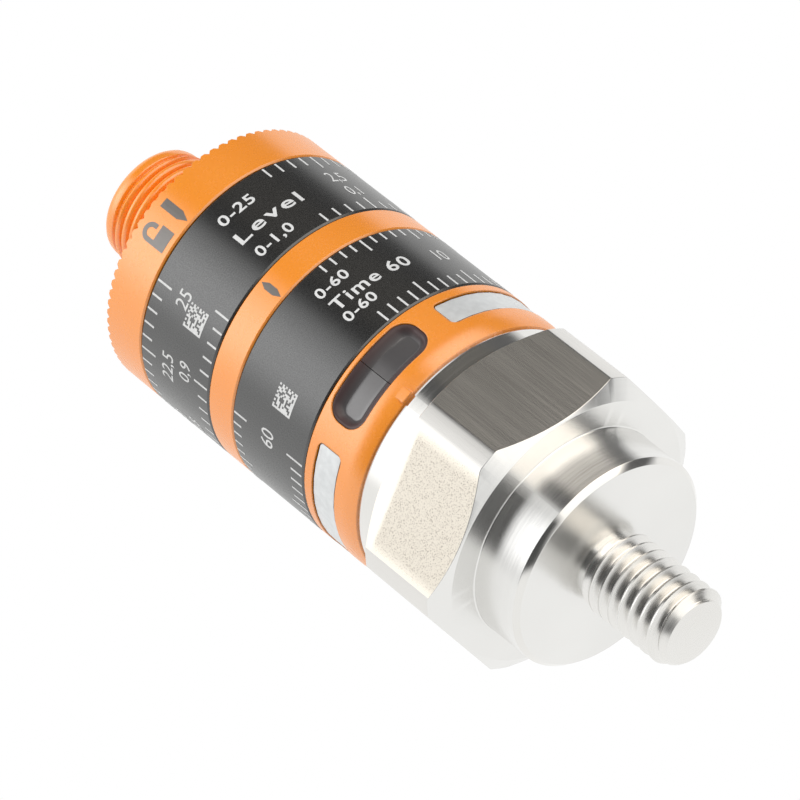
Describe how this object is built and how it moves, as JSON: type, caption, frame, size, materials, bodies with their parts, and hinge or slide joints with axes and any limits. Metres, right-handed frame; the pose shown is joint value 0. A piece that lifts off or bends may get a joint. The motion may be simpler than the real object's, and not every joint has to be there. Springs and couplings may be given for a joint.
{
  "type": "vibration sensor",
  "caption": "Round vibration sensor on a hexagon base with a threaded stud, turning setting rings under a lock ring, a signal window and a round plug connector.",
  "frame": {"origin": "centre of the seating face, where the stud leaves the collar", "axes": "+Z along the axis from the stud to the connector; the front, with the pointers and the signal window, faces -Y"},
  "size_m": [0.027, 0.03, 0.075],
  "materials": {
    "stainless": "turned and polished, with brushed flats",
    "orange_plastic": "satin moulding",
    "black_plastic": "fine matte grain with white print",
    "smoked_lens": "polished, smoked",
    "label_plate": "satin",
    "seal_rubber": "matte",
    "magnet": "plated",
    "spring_steel": "rolled",
    "insulator": "matte",
    "gold_contact": "gold plated",
    "board": "solder resist",
    "chip": "matte moulding",
    "led": "clear moulding"
  },
  "bodies": {
    "base": {"hex_base": "stainless", "base_seal": "seal_rubber", "housing": "orange_plastic", "power_lens": "smoked_lens", "output_lens": "smoked_lens", "power_label": "label_plate", "output_label": "label_plate", "delay_grip": "seal_rubber", "pointer_ring": "orange_plastic", "level_grip": "seal_rubber", "connector_head": "orange_plastic", "head_seal": "seal_rubber", "contact_carrier": "insulator", "contact_pins": "gold_contact", "circuit_board": "board", "processor": "chip", "delay_sensor": "chip", "level_sensor": "chip", "power_led": "led", "output_led": "led", "sensing_board": "board", "accelerometer": "chip", "board_socket": "insulator"},
    "delay_dial": {"delay_ring": "black_plastic", "delay_magnet": "magnet"},
    "level_dial": {"level_ring": "black_plastic", "level_magnet": "magnet"},
    "lock": {"lock_ring": "orange_plastic", "spring_washer": "spring_steel"}
  },
  "joints": [
    {"name": "delay_turn", "type": "hinge", "parent": "base", "child": "delay_dial", "pos_m": [0, 0, 0.03035], "axis": [0, 0, 1], "continuous": true},
    {"name": "level_turn", "type": "hinge", "parent": "base", "child": "level_dial", "pos_m": [0, 0, 0.0436], "axis": [0, 0, 1], "continuous": true},
    {"name": "lock_turn", "type": "hinge", "parent": "base", "child": "lock", "pos_m": [0, 0, 0.05095], "axis": [0, 0, 1], "range_deg": [0, 11]}
  ]
}
